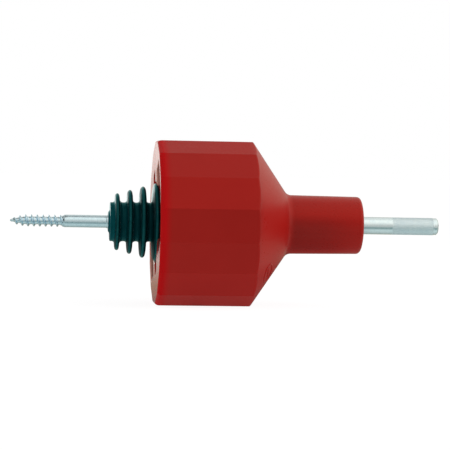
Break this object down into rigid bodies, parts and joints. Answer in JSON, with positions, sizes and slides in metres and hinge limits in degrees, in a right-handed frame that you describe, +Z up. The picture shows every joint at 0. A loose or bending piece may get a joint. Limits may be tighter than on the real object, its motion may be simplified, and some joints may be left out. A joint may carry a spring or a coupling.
{
  "type": "ring insulator driver with loaded insulator",
  "caption": "Drill-driven cup tool that screws ring insulators into fence posts, shown with a finned screw-in ring insulator held in its mouth.",
  "frame": {"origin": "centre of the flat end face of the drive shank, the end that goes into the drill chuck", "axes": "+X along the turning axis, out of the shank towards the drill; -X towards the fence post; +Z up, away from the housing facet the tool lies on"},
  "size_m": [0.197, 0.0748, 0.0748],
  "materials": {
    "housing_plastic": "semi-gloss moulded, satin facets",
    "shank_steel": "bright turned, zinc plated, knurled grip zone",
    "insulator_plastic": "semi-gloss moulded",
    "screw_zinc": "bright blue-white zinc plated"
  },
  "bodies": {
    "driver": {"driver_housing": "housing_plastic", "drive_shank": "shank_steel"},
    "insulator": {"insulator_body": "insulator_plastic", "wood_screw": "screw_zinc"}
  },
  "joints": [
    {"name": "insulator_pull", "type": "slide", "parent": "driver", "child": "insulator", "axis": [-1, 0, 0], "range_m": [0, 0.055]}
  ]
}
